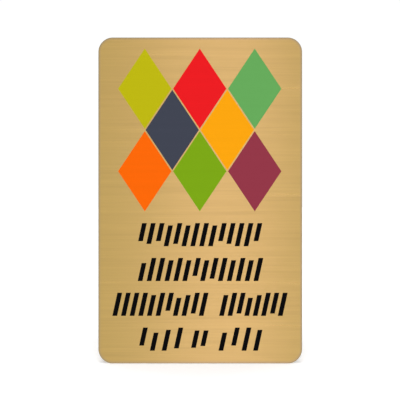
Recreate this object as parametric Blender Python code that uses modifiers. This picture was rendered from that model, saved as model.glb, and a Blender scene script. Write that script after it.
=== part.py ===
import math

import bmesh
import bpy

# Brass sign: one flat sheet-brass plate, upright, with rounded corners and eased rims.
# Width runs along X and height along Z. The printed front faces -Y.
# The back lies on y = 0, and the origin is the middle of the back. All sizes are in metres.

# Driving sizes
INCH = 0.0254
PLATE_WIDTH = 10 * INCH
PLATE_HEIGHT = 16 * INCH
PLATE_THICKNESS = INCH / 16
CORNER_RADIUS = 0.018
FRONT_EASE = 0.0008  # rounding of the rim that is seen
BACK_EASE = 0.0003  # deburred rim against the wall

# How finely the round stretches are divided
CORNER_STEPS = 16
EASE_STEPS = 4
SEAM_SHARE = 0.01  # of the thickness: cap points closer than this to a side point are one
FLAT_ANGLE = math.radians(0.1)
SHARP_ANGLE = math.radians(30)

# Finish
BRASS_COLOUR = (0.644, 0.418, 0.156, 1.0)
BRASS_ROUGHNESS = 0.34


def clear_scene():
    for old in list(bpy.data.objects):
        bpy.data.objects.remove(old, do_unlink=True)


def make_collection(name):
    group = bpy.data.collections.new(name)
    bpy.context.scene.collection.children.link(group)
    return group


def brushed_brass():
    material = bpy.data.materials.new("brushed_brass")
    material.use_nodes = True
    shader = material.node_tree.nodes["Principled BSDF"]
    shader.inputs["Base Color"].default_value = BRASS_COLOUR
    shader.inputs["Metallic"].default_value = 1.0
    shader.inputs["Roughness"].default_value = BRASS_ROUGHNESS
    material.diffuse_color = BRASS_COLOUR
    return material


def rounded_outline(width, height, radius):
    # Anticlockwise from the lower right corner, a quarter turn of arc at each corner
    radius = min(radius, width / 2, height / 2)
    points = []
    for corner in range(4):
        start = math.radians(90 * corner - 90)
        right = corner in (0, 1)
        upper = corner in (1, 2)
        centre_x = (width / 2 - radius) * (1 if right else -1)
        centre_y = (height / 2 - radius) * (1 if upper else -1)
        for step in range(CORNER_STEPS + 1):
            angle = start + math.radians(90) * step / CORNER_STEPS
            points.append((centre_x + radius * math.cos(angle), centre_y + radius * math.sin(angle)))
    return points


def blank_mesh(points, thickness):
    # The outline as a filled flat curve, then as a closed mesh with its caps welded on
    curve = bpy.data.curves.new("plate_outline", "CURVE")
    curve.dimensions = "2D"
    curve.fill_mode = "BOTH"
    curve.extrude = thickness / 2
    spline = curve.splines.new("POLY")
    spline.points.add(len(points) - 1)
    spline.use_cyclic_u = True
    for point, (x, y) in zip(spline.points, points):
        point.co = (x, y, 0, 1)
    outline = bpy.data.objects.new("plate_outline", curve)
    bpy.context.scene.collection.objects.link(outline)
    evaluated = outline.evaluated_get(bpy.context.evaluated_depsgraph_get())
    mesh = bpy.data.meshes.new_from_object(evaluated)
    bpy.data.objects.remove(outline)
    shape = bmesh.new()
    shape.from_mesh(mesh)
    bmesh.ops.remove_doubles(shape, verts=shape.verts, dist=thickness * SEAM_SHARE)
    # Front and back become one flat face each, which leaves room for the eased rims
    bmesh.ops.dissolve_limit(
        shape, angle_limit=FLAT_ANGLE, verts=shape.verts, edges=shape.edges
    )
    shape.to_mesh(mesh)
    shape.free()
    return mesh


def weigh_rims(mesh, widest):
    # Each rim's bevel weight is its rounding as a share of the widest
    shape = bmesh.new()
    shape.from_mesh(mesh)
    weight = shape.edges.layers.float.new("bevel_weight_edge")
    for edge in shape.edges:
        if edge.calc_face_angle(0) < SHARP_ANGLE:
            continue
        on_front = edge.verts[0].co.z > 0
        edge[weight] = (FRONT_EASE if on_front else BACK_EASE) / widest
    shape.to_mesh(mesh)
    shape.free()


def make_plate(group):
    points = rounded_outline(PLATE_WIDTH, PLATE_HEIGHT, CORNER_RADIUS)
    mesh = blank_mesh(points, PLATE_THICKNESS)
    widest = max(FRONT_EASE, BACK_EASE)
    weigh_rims(mesh, widest)
    mesh.name = "brass_plate"
    mesh.materials.append(brushed_brass())
    mesh.shade_smooth()
    plate = bpy.data.objects.new("brass_plate", mesh)
    # Turned upright, and moved forward by half its thickness so that its back is on y = 0
    plate.rotation_euler = (math.radians(90), 0, 0)
    plate.location = (0, -PLATE_THICKNESS / 2, 0)
    group.objects.link(plate)
    ease = plate.modifiers.new("eased_rims", "BEVEL")
    ease.limit_method = "WEIGHT"
    ease.width = widest
    ease.segments = EASE_STEPS
    ease.harden_normals = True
    return plate


clear_scene()
sign = make_collection("brass_sign")
make_plate(sign)
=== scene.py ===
import math
import random

import bpy
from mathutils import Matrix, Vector
from mathutils.geometry import delaunay_2d_cdt


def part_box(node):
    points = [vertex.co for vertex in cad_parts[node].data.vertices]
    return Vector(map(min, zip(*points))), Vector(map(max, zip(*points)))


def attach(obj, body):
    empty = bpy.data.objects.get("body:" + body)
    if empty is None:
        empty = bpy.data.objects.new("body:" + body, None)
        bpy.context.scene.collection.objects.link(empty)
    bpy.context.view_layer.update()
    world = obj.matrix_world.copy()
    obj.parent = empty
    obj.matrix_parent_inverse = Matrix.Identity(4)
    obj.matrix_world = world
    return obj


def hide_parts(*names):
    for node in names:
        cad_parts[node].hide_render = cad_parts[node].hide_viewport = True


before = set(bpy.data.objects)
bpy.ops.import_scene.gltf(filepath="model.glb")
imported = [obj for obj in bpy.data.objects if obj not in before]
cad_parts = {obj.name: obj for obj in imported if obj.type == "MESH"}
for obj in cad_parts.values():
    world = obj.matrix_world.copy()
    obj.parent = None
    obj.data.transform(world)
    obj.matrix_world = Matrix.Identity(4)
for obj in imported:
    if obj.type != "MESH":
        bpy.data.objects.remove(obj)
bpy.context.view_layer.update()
plateLow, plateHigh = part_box("brass_plate")
print("frame loaded, plate", [round(s, 4) for s in plateHigh - plateLow])


# camera, straight on to the front, with the photograph's field of view
cameraSet = {
    "lens": 100.0,
    "sensor": 36.0,
    "fieldWidth": 0.4986,  # how much of the plate's plane the square picture spans
    "sideStep": -0.0003,  # the plate stands a hair right of and below the picture's middle
    "rise": 0.0006,
    "farLimit": 30,
}


def makeCamera(opts):
    data = bpy.data.cameras.new("signCamera")
    data.lens = opts["lens"]
    data.sensor_width = opts["sensor"]
    data.clip_end = opts["farLimit"]
    camera = bpy.data.objects.new("signCamera", data)
    bpy.context.scene.collection.objects.link(camera)
    distance = opts["fieldWidth"] * opts["lens"] / opts["sensor"]
    camera.location = (opts["sideStep"], plateLow.y - distance, opts["rise"])
    camera.rotation_euler = (math.radians(90), 0, 0)
    bpy.context.scene.camera = camera
    print("camera at", round(distance, 3), "m")


makeCamera(cameraSet)


# small helpers for node materials
def newMaterial(name):
    mat = bpy.data.materials.new(name)
    mat.use_nodes = True
    nodes = mat.node_tree.nodes
    return mat, nodes, mat.node_tree.links, nodes["Principled BSDF"]


def addNode(nodes, kind, place=(0, 0), **settings):
    node = nodes.new(kind)
    node.location = place
    for key, value in settings.items():
        setattr(node, key, value)
    return node


def setInputs(node, **values):
    for key, value in values.items():
        node.inputs[key.replace("_", " ")].default_value = value


def toLinear(red, green, blue):
    def one(level):
        level = level / 255
        return level / 12.92 if level <= 0.04045 else ((level + 0.055) / 1.055) ** 2.4
    return (one(red), one(green), one(blue), 1.0)


# grain: noise squeezed hard one way, so that it draws out into streaks the other way
grainSet = {
    "roughness": 0.6,  # how much of the noise is in its finer layers
    "seedStep": (3.1, 1.7, 2.3),  # how far each seed moves the noise
    "patchRange": (0.35, 0.65),  # most of the noise lies between these
}


def grainNoise(nodes, links, squeeze, detail, seed, place):
    coords = addNode(nodes, "ShaderNodeTexCoord", (place[0] - 400, place[1]))
    stretch = addNode(nodes, "ShaderNodeMapping", (place[0] - 200, place[1]))
    stretch.inputs["Scale"].default_value = squeeze
    stretch.inputs["Location"].default_value = [seed * step for step in grainSet["seedStep"]]
    noise = addNode(nodes, "ShaderNodeTexNoise", place)
    setInputs(noise, Scale=1.0, Detail=detail, Roughness=grainSet["roughness"])
    links.new(coords.outputs["Object"], stretch.inputs["Vector"])
    links.new(stretch.outputs["Vector"], noise.inputs["Vector"])
    return noise.outputs["Fac"]


def mapRange(nodes, links, value, fromLow, fromHigh, toLow, toHigh, place):
    node = addNode(nodes, "ShaderNodeMapRange", place)
    setInputs(node, From_Min=fromLow, From_Max=fromHigh, To_Min=toLow, To_Max=toHigh)
    links.new(value, node.inputs["Value"])
    return node.outputs["Result"]


def mathNode(nodes, links, operation, first, second, place):
    node = addNode(nodes, "ShaderNodeMath", place, operation=operation)
    for socket, value in zip(node.inputs, (first, second)):
        if isinstance(value, (int, float)):
            socket.default_value = value
        else:
            links.new(value, socket)
    return node.outputs["Value"]


def shadeColour(nodes, links, colour, factor, place):
    # colour times a grey factor
    node = addNode(nodes, "ShaderNodeVectorMath", place, operation="SCALE")
    node.inputs[0].default_value = colour[:3]
    links.new(factor, node.inputs["Scale"])
    return node.outputs["Vector"]


def grainSum(nodes, links, grains, patches=None):
    # grains are (squeeze, detail, seed, share); their sum is centred on nought, and patches
    # are (squeeze, seed, least, most), by which the streaks fade and strengthen
    total = None
    for i, (squeeze, detail, seed, share) in enumerate(grains):
        spot = grainNoise(nodes, links, squeeze, detail, seed, (-1300, 400 - 300 * i))
        centred = mapRange(nodes, links, spot, 0, 1, -share, share, (-1100, 400 - 300 * i))
        if total is None:
            total = centred
        else:
            total = mathNode(nodes, links, "ADD", total, centred, (-900, 300 - 300 * i))
    if patches:
        squeeze, seed, least, most = patches
        spot = grainNoise(nodes, links, squeeze, 1, seed, (-1300, 700))
        low, high = grainSet["patchRange"]
        strength = mapRange(nodes, links, spot, low, high, least, most, (-1100, 700))
        total = mathNode(nodes, links, "MULTIPLY", total, strength, (-750, 300))
    return total


def tonedColour(nodes, links, grain, spread, colour):
    # the colour, lighter and darker along the grain
    tone = mapRange(nodes, links, grain, -1, 1, 1 - spread, 1 + spread, (-500, 300))
    return shadeColour(nodes, links, toLinear(*colour), tone, (-300, 300))


def raiseGrain(nodes, links, grain, shader, opts):
    bump = addNode(nodes, "ShaderNodeBump", (-300, -300))
    setInputs(bump, Strength=opts["bump"], Distance=opts["bumpDepth"])
    links.new(grain, bump.inputs["Height"])
    links.new(bump.outputs["Normal"], shader.inputs["Normal"])


def grainedMetal(name, opts, edge=None):
    # brass whose tone, gloss and surface all follow one grain; edge gives how far a point
    # has gone over to the edge colour, which is painted shade along the plate's outline
    mat, nodes, links, shader = newMaterial(name)
    grain = grainSum(nodes, links, opts["grains"], opts.get("patches"))
    colour = tonedColour(nodes, links, grain, opts["toneSpread"], opts["colour"])
    if edge:
        # mix towards the edge colour: painted shade, darker and greyer along the outline
        paintedEdgeShade = addNode(nodes, "ShaderNodeMixRGB", (-100, 300))
        links.new(edge(nodes, links), paintedEdgeShade.inputs["Fac"])
        links.new(colour, paintedEdgeShade.inputs["Color1"])
        paintedEdgeShade.inputs["Color2"].default_value = toLinear(*opts["edgeColour"])
        colour = paintedEdgeShade.outputs["Color"]
    links.new(colour, shader.inputs["Base Color"])
    rough, swing = opts["roughness"], opts["roughSpread"]
    gloss = mapRange(nodes, links, grain, -1, 1, rough + swing, rough - swing, (-500, 0))
    links.new(gloss, shader.inputs["Roughness"])
    raiseGrain(nodes, links, grain, shader, opts)
    setInputs(shader, Metallic=1.0, Anisotropic=opts["anisotropic"])
    if opts["anisotropic"]:
        # the layout's own direction, turned a quarter, so that gloss spreads across the grain
        along = addNode(nodes, "ShaderNodeTangent", (-300, -500), direction_type="UV_MAP")
        along.uv_map = "OFBake"
        links.new(along.outputs["Tangent"], shader.inputs["Tangent"])
        setInputs(shader, Anisotropic_Rotation=opts["glossTurn"])
    setInputs(shader, Coat_Weight=opts["lacquer"], Coat_Roughness=opts["lacquerRoughness"])
    return mat


# the front: brass brushed from side to side under clear lacquer, with painted shade making it
# darker and greyer along its edge
brassSet = {
    "colour": (191, 159, 85),
    "roughness": 0.3,
    "anisotropic": 0.85,
    "glossTurn": 0.25,  # of a full turn
    "lacquer": 0.6,
    "lacquerRoughness": 0.25,
    "grains": (
        ((14, 1700, 1700), 2, 1, 0.85),
        ((6, 420, 420), 2, 5, 0.85),
        ((3, 130, 130), 2, 9, 0.8),
    ),
    "patches": ((11, 70, 70), 13, 0.5, 1.3),
    "toneSpread": 0.095,
    "roughSpread": 0.04,
    "bump": 0.7,
    "bumpDepth": 0.00004,
    # darker, greyer brass painted along the outline as shade
    "edgeColour": (173, 148, 101),
    "edgeFrom": 0.0034,  # how far in from the outline the edge colour starts, and is full
    "edgeFull": 0.0009,
}


def edgeShare(nodes, links):
    # share of the painted edge shade: nought over the face, rising to one at the plate's rounded
    # outline
    half = (plateHigh - plateLow) / 2
    middle = (plateHigh + plateLow) / 2
    radius = plateSet["cornerRadius"]
    coords = addNode(nodes, "ShaderNodeTexCoord", (-1900, 900))
    split = addNode(nodes, "ShaderNodeSeparateXYZ", (-1700, 900))
    links.new(coords.outputs["Object"], split.inputs["Vector"])
    past = []
    for i, (axis, centre, reach) in enumerate((("X", middle.x, half.x), ("Z", middle.z, half.z))):
        y = 1000 - 200 * i
        away = mathNode(nodes, links, "SUBTRACT", split.outputs[axis], centre, (-1500, y))
        away = mathNode(nodes, links, "ABSOLUTE", away, 0.0, (-1350, y))
        away = mathNode(nodes, links, "SUBTRACT", away, reach - radius, (-1200, y))
        past.append(mathNode(nodes, links, "MAXIMUM", away, 0.0, (-1050, y)))
    square = mathNode(nodes, links, "MULTIPLY", past[0], past[0], (-900, 1000))
    other = mathNode(nodes, links, "MULTIPLY", past[1], past[1], (-900, 800))
    both = mathNode(nodes, links, "ADD", square, other, (-750, 900))
    reach = mathNode(nodes, links, "SQRT", both, 0.0, (-600, 900))
    start, full = radius - brassSet["edgeFrom"], radius - brassSet["edgeFull"]
    return mapRange(nodes, links, reach, start, full, 0, 1, (-450, 900))


# the rim: bare cut edge, filed along its length; its darker colour is painted shade along the eased
# edge
rimSet = {
    # darker than the front as painted shade along the edge; the filed grain is the edge's own
    "colour": (164, 146, 100),
    "roughness": 0.42,
    "anisotropic": 0.0,
    "lacquer": 0.0,
    "lacquerRoughness": 0.25,
    "grains": (
        ((60, 6000, 60), 2, 21, 1.0),
        ((250, 250, 250), 2, 23, 0.8),
    ),
    "toneSpread": 0.16,
    "roughSpread": 0.10,
    "bump": 0.25,
    "bumpDepth": 0.00003,
}

# the back: plain rolled sheet with faint rolling lines up and down and a dull bloom
backSet = {
    "colour": (186, 156, 90),
    "roughness": 0.32,
    "anisotropic": 0.0,
    "lacquer": 0.0,
    "lacquerRoughness": 0.25,
    "grains": (
        ((1500, 1500, 9), 2, 31, 0.8),
        ((420, 420, 1.5), 2, 33, 0.35),
        ((17, 17, 14), 3, 35, 0.9),
    ),
    "toneSpread": 0.06,
    "roughSpread": 0.07,
    "bump": 0.3,
    "bumpDepth": 0.00004,
}


# print inks, opaque and satin, with the grain of the metal just showing in them
inkSet = {
    "roughness": 0.42,
    "specular": 0.04,
    "toneSpread": 0.03,
    "bump": 0.3,
    "bumpDepth": 0.00003,
    "colours": {
        "orange": (238, 98, 0),
        "amber": (238, 157, 6),
        "olive": (179, 174, 10),
        "green": (116, 158, 15),
        "seaGreen": (96, 161, 84),
        "slate": (60, 64, 75),
        "plum": (138, 51, 65),
        "red": (223, 24, 28),
        "black": (2, 2, 2),
    },
}


def inkMaterial(name, colour, opts):
    mat, nodes, links, shader = newMaterial(name)
    # only the two wider grains of the brass show through
    grain = grainSum(nodes, links, brassSet["grains"][1:], brassSet["patches"])
    toned = tonedColour(nodes, links, grain, opts["toneSpread"], colour)
    links.new(toned, shader.inputs["Base Color"])
    raiseGrain(nodes, links, grain, shader, opts)
    setInputs(shader, Roughness=opts["roughness"])
    shader.inputs["Specular IOR Level"].default_value = opts["specular"]
    return mat


# the printed panel: eight lozenges, set three, two and three
lozengeSet = {
    "centre": (-0.0006, 0.0879),
    "size": (0.2056, 0.2058),
    "gap": 0.0016,
    "top": ("olive", "red", "seaGreen"),
    "middle": ("slate", "amber"),
    "bottom": ("orange", "green", "plum"),
}


def lozengeShapes(opts):
    # (ink, corner points) for each lozenge, seen from the front, x to the right and z up
    halfWide, halfTall = opts["size"][0] / 6, opts["size"][1] / 4
    shapes = []
    for level, key in ((1, "top"), (0, "middle"), (-1, "bottom")):
        inks = opts[key]
        for i, ink in enumerate(inks):
            x = opts["centre"][0] + (i - (len(inks) - 1) / 2) * 2 * halfWide
            z = opts["centre"][1] + level * halfTall
            slope = math.hypot(1 / halfWide, 1 / halfTall)
            shrink = 1 - slope * opts["gap"] / 2  # pulls every side in by half the gap
            wide, tall = halfWide * shrink, halfTall * shrink
            shapes.append((ink, [(x, z - tall), (x + wide, z), (x, z + tall), (x - wide, z)]))
    return shapes


# rows of slanting strokes across the lower half
strokeSet = {
    "firstRow": -0.0426,
    "rowPitch": 0.0434,
    "height": 0.0289,
    "width": 0.0060,
    "pitch": 0.0107,
    "lean": 0.22,
    "seed": 11,
    # each row's groups, as left end, right end, share of the height and share of the pitch
    "rows": (
        ((-0.0789, 0.0774, 1, 1),),
        ((-0.0780, 0.0787, 1, 1),),
        ((-0.1096, 0.0104, 1, 1), (0.0235, 0.1090, 1, 1)),
        ((-0.0776, -0.0211, 1, 1.3), (-0.0115, 0.0104, 0.75, 1), (0.0227, 0.0782, 1, 1.3)),
    ),
    # where a stroke begins and ends, as shares of the height either side of the row's middle
    "kinds": ((-0.5, 0.5), (-0.5, 0.5), (-0.5, 0.28), (-0.28, 0.5), (-0.5, 0.4), (-0.4, 0.5)),
}


def strokeShapes(opts):
    chooser = random.Random(opts["seed"])
    half = opts["width"] / 2
    shapes = []
    for row, groups in enumerate(opts["rows"]):
        middle = opts["firstRow"] - row * opts["rowPitch"]
        for left, right, tallness, spacing in groups:
            height = opts["height"] * tallness
            leanWide = opts["lean"] * height
            run = right - left - leanWide - opts["width"]
            count = max(1, round(run / (opts["pitch"] * spacing)))
            last = None
            for i in range(count + 1):
                kind = chooser.choice([k for k in opts["kinds"] if k != last or k == (-0.5, 0.5)])
                last = kind
                low, high = (share * height for share in kind)
                x = left + leanWide / 2 + half + run * i / count
                shapes.append(("black", [
                    (x + low * opts["lean"] - half, middle + low),
                    (x + low * opts["lean"] + half, middle + low),
                    (x + high * opts["lean"] + half, middle + high),
                    (x + high * opts["lean"] - half, middle + high),
                ]))
    return shapes


# the plate: one closed sheet whose front is divided along the print's outlines
plateSet = {
    "cornerRadius": 0.018,
    "frontEase": 0.0008,
    "backEase": 0.0003,
    "cornerSteps": 32,
    "easeSteps": 6,
    "mergeWithin": 1e-7,  # points of the cut front closer than this are one
}

# where each part of the plate lies on its flat layout, a square of side 1, as
# left, bottom, width and height; the rim is four upright strips beside each other
layoutSet = {
    "front": (0.006, 0.01, 0.69, 0.98),
    "back": (0.706, 0.01, 0.24, 0.98),
    "rimLeft": 0.956,
    "rimPitch": 0.011,
    "rimWide": 0.0065,
    "rimTall": (0.01, 0.98),
}


def plateOutline(opts, inset):
    # rounded rectangle, anticlockwise seen from the front, with each outward direction
    radius = opts["cornerRadius"]
    halfWide = (plateHigh.x - plateLow.x) / 2 - radius
    halfTall = (plateHigh.z - plateLow.z) / 2 - radius
    midX, midZ = (plateHigh.x + plateLow.x) / 2, (plateHigh.z + plateLow.z) / 2
    points = []
    for corner, (sideX, sideZ) in enumerate(((1, -1), (1, 1), (-1, 1), (-1, -1))):
        for step in range(opts["cornerSteps"] + 1):
            turn = math.radians(90 * corner - 90 + 90 * step / opts["cornerSteps"])
            out = (math.cos(turn), math.sin(turn))
            points.append((
                midX + sideX * halfWide + out[0] * (radius - inset),
                midZ + sideZ * halfTall + out[1] * (radius - inset),
                out,
            ))
    return points


def plateRings(opts):
    # each ring as inset, depth and tilt, from the front face round the rim to the back
    rings = []
    for step in range(opts["easeSteps"] + 1):
        tilt = math.radians(90 * step / opts["easeSteps"])
        ease = opts["frontEase"]
        rings.append((ease * (1 - math.sin(tilt)), plateLow.y + ease * (1 - math.cos(tilt)), tilt))
    for step in range(opts["easeSteps"] + 1):
        tilt = math.radians(90 + 90 * step / opts["easeSteps"])
        ease = opts["backEase"]
        rings.append((ease * (1 - math.sin(tilt)), plateHigh.y - ease * (1 + math.cos(tilt)), tilt))
    return rings


def layOut(mesh, opts, names, around, ringCount):
    # flat layout of the plate, with most room for the front
    wide, tall = plateHigh.x - plateLow.x, plateHigh.z - plateLow.z
    quarter = around // 4
    along, across = [0.0], [0.0]
    points = [mesh.vertices[i].co for i in range(around)]
    for i in range(around):
        along.append(along[-1] + (points[(i + 1) % around] - points[i]).length)
    for ring in range(1, ringCount):
        step = mesh.vertices[ring * around].co - mesh.vertices[(ring - 1) * around].co
        across.append(across[-1] + step.length)
    sides = [along[(k + 1) * quarter] - along[k * quarter] for k in range(4)]
    spots = mesh.uv_layers.new(name="OFBake").data
    for polygon in mesh.polygons:
        part = names[polygon.material_index]
        if part == "rim":
            numbers = [mesh.loops[c].vertex_index % around for c in polygon.loop_indices]
            side = min(numbers) // quarter
            if max(numbers) - min(numbers) > 1:  # the last face, which closes the ring
                side = 3
        for corner in polygon.loop_indices:
            vertex = mesh.loops[corner].vertex_index
            if part == "rim":
                number = vertex % around
                if side == 3 and number == 0:
                    number = around
                share = (along[number] - along[side * quarter]) / max(sides)
                u = opts["rimLeft"] + side * opts["rimPitch"]
                u += opts["rimWide"] * across[vertex // around] / across[-1]
                v = opts["rimTall"][0] + opts["rimTall"][1] * share
            else:
                place = mesh.vertices[vertex].co
                left, bottom, width, height = opts["back" if part == "back" else "front"]
                share = (place.x - plateLow.x) / wide
                if part == "back":
                    share = 1 - share
                u = left + width * share
                v = bottom + height * (place.z - plateLow.z) / tall
            spots[corner].uv = (u, v)


def makePlate(opts, prints, materials):
    rings = plateRings(opts)
    vertices, normals = [], []
    for inset, depth, tilt in rings:
        for x, z, out in plateOutline(opts, inset):
            vertices.append((x, depth, z))
            normals.append((out[0] * math.sin(tilt), -math.cos(tilt), out[1] * math.sin(tilt)))
    around = len(vertices) // len(rings)
    faces, slots = [], []
    for ring in range(len(rings) - 1):
        for i in range(around):
            j = (i + 1) % around
            near, far = ring * around, (ring + 1) * around
            faces.append((far + i, far + j, near + j, near + i))
            slots.append("rim")
    faces.append(tuple(range((len(rings) - 1) * around, len(rings) * around))[::-1])
    slots.append("back")

    # the front, cut along every printed outline; the rim's first ring is its border
    flat = [Vector((vertices[i][0], vertices[i][2])) for i in range(around)]
    loops = [list(range(around))]
    for _, corners in prints:
        loops.append(list(range(len(flat), len(flat) + len(corners))))
        flat.extend(Vector(c) for c in corners)
    cut = delaunay_2d_cdt(flat, [], loops, 1, opts["mergeWithin"], True)
    points, _, patches, sources, _, within = cut
    place = []
    for i, point in enumerate(points):
        onRim = [s for s in sources[i] if s < around]
        if onRim:
            place.append(onRim[0])
        else:
            place.append(len(vertices))
            vertices.append((point.x, plateLow.y, point.y))
            normals.append((0.0, -1.0, 0.0))
    for patch, inside in zip(patches, within):
        corner = [Vector(vertices[place[i]]) for i in patch]
        up = (corner[1] - corner[0]).cross(corner[2] - corner[0]).y > 0
        faces.append(tuple(place[i] for i in (reversed(patch) if up else patch)))
        over = [n - 1 for n in inside if n > 0]
        slots.append(prints[over[0]][0] if over else "front")

    mesh = bpy.data.meshes.new("brassPlate")
    mesh.from_pydata(vertices, [], faces)
    names = list(materials)
    for name in names:
        mesh.materials.append(materials[name])
    for polygon, slot in zip(mesh.polygons, slots):
        polygon.material_index = names.index(slot)
        polygon.use_smooth = True
    mesh.validate()
    layOut(mesh, layoutSet, names, around, len(rings))
    mesh.normals_split_custom_set_from_vertices(normals)
    plate = bpy.data.objects.new("brassPlate", mesh)
    bpy.context.scene.collection.objects.link(plate)
    print("plate has", len(mesh.polygons), "faces,", len(prints), "printed shapes")
    return plate


materials = {
    "front": grainedMetal("brushedBrass", brassSet, edgeShare),
    "rim": grainedMetal("rimBrass", rimSet),
    "back": grainedMetal("backBrass", backSet),
}
for inkName, inkColour in inkSet["colours"].items():
    materials[inkName] = inkMaterial(inkName + "Ink", inkColour, inkSet)
print("finishes made:", ", ".join(materials))

plate = makePlate(plateSet, lozengeShapes(lozengeSet) + strokeShapes(strokeSet), materials)
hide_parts("brass_plate")
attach(plate, "root")


# studio: pale floor, light all round that is brightest low down, one soft high light from
# the front for the inks and the floor, and upright strips by the camera that draw the
# bright band on the brass
studioSet = {
    "floorSize": 60.0,
    "floorColour": 0.98,
    "floorGlow": 0.2,  # keeps the floor as white as the backdrop
    "lowLight": 1.0,
    "highLight": 0.65,
    "highFrom": (0.18, 0.7),  # heights between which the low light fades into the high one
    "frontTurn": 0.25,  # radians either side of the front before the light starts to fade
    "sideLight": 0.70,
    "bandCount": 4.0,
    "bandLight": 1.5,
    "bandNarrowness": 30.0,
    "backdrop": 1.02,
    "sun": {"strength": 1.24, "softness": 18.0, "place": (0, 0, 2), "towards": (0.0, 0.6, -0.8)},
    "stripColour": (0.61, 0.49, 1.0),
    "strips": {
        "leftStrip": {"size": (0.10, 3.0), "place": (-0.11, -1.39, 0), "brightness": 0.35},
        "middleStrip": {"size": (0.214, 3.0), "place": (0.045, -1.39, 0), "brightness": 0.91},
        "rightStrip": {"size": (0.03, 3.0), "place": (0.155, -1.39, 0), "brightness": 3.3},
    },
}


def aimLight(name, kind, place, direction):
    data = bpy.data.lights.new(name, kind)
    light = bpy.data.objects.new(name, data)
    light.location = place
    light.rotation_euler = Vector(direction).to_track_quat("-Z", "Y").to_euler()
    light.visible_camera = False
    bpy.context.scene.collection.objects.link(light)
    return light


def makeWorld(opts):
    world = bpy.data.worlds.new("studioWorld")
    bpy.context.scene.world = world
    world.use_nodes = True
    nodes, links = world.node_tree.nodes, world.node_tree.links

    def work(operation, first, second, place):
        return mathNode(nodes, links, operation, first, second, place)

    coords = addNode(nodes, "ShaderNodeTexCoord", (-900, 0))
    split = addNode(nodes, "ShaderNodeSeparateXYZ", (-700, 0))
    links.new(coords.outputs["Generated"], split.inputs["Vector"])
    low, high = opts["highFrom"]
    lowLight, highLight = opts["lowLight"], opts["highLight"]
    height = mapRange(nodes, links, split.outputs["Z"], low, high, lowLight, highLight, (-500, 0))
    # round the studio, from straight in front of the plate: a little darker to the sides and
    # behind, with a tall soft band of light at every odd eighth of a turn
    forward = work("MULTIPLY", split.outputs["Y"], -1.0, (-700, -200))
    turn = work("ARCTAN2", split.outputs["X"], forward, (-550, -200))
    away = work("ABSOLUTE", turn, 0.0, (-400, -100))
    front = opts["frontTurn"]
    sides = mapRange(nodes, links, away, front, 2 * front, 1, opts["sideLight"], (-250, -100))
    wave = work("MULTIPLY", turn, opts["bandCount"], (-400, -300))
    wave = work("COSINE", wave, 0.0, (-250, -300))
    crest = work("MULTIPLY", wave, -1.0, (-100, -300))
    crest = work("MAXIMUM", crest, 0.0, (50, -300))
    band = work("POWER", crest, opts["bandNarrowness"], (200, -300))
    band = work("MULTIPLY", band, opts["bandLight"], (350, -300))
    around = work("ADD", sides, band, (500, -200))
    height = work("MULTIPLY", height, around, (650, -100))
    seen = addNode(nodes, "ShaderNodeLightPath", (-700, 300))
    level = addNode(nodes, "ShaderNodeMix", (-300, 200))
    links.new(seen.outputs["Is Camera Ray"], level.inputs["Factor"])
    links.new(height, level.inputs["A"])
    level.inputs["B"].default_value = opts["backdrop"]
    back = nodes["Background"]
    links.new(level.outputs["Result"], back.inputs["Strength"])
    back.inputs["Color"].default_value = (1, 1, 1, 1)


def makeFloor(opts):
    bpy.ops.mesh.primitive_plane_add(size=opts["floorSize"], location=(0, 0, plateLow.z))
    floor = bpy.context.object
    floor.name = "studioFloor"
    mat, _, _, shader = newMaterial("floorPaper")
    setInputs(shader, Roughness=1.0)
    shader.inputs["Specular IOR Level"].default_value = 0.0
    shader.inputs["Base Color"].default_value = (opts["floorColour"],) * 3 + (1,)
    shader.inputs["Emission Color"].default_value = (1, 1, 1, 1)
    shader.inputs["Emission Strength"].default_value = opts["floorGlow"]
    floor.data.materials.append(mat)
    # the light below the floor is the floor's own, so it lights the plate as the floor would
    floor.visible_glossy = False
    floor.visible_diffuse = False
    floor.visible_shadow = False


def makeLights(opts):
    sun = aimLight("softSun", "SUN", opts["sun"]["place"], opts["sun"]["towards"])
    sun.data.energy = opts["sun"]["strength"]
    sun.data.angle = math.radians(opts["sun"]["softness"])
    sun.visible_glossy = False  # so that it lights the inks but leaves no glare on the brass
    for name, strip in opts["strips"].items():
        lamp = aimLight(name, "AREA", strip["place"], (0, 1, 0)).data
        lamp.shape = "RECTANGLE"
        lamp.color = opts["stripColour"]
        lamp.size, lamp.size_y = strip["size"]
        lamp.energy = strip["brightness"] * math.pi * lamp.size * lamp.size_y


makeWorld(studioSet)
makeFloor(studioSet)
makeLights(studioSet)
bpy.context.scene.view_settings.view_transform = "Standard"
bpy.context.scene.view_settings.look = "None"
print("studio set")
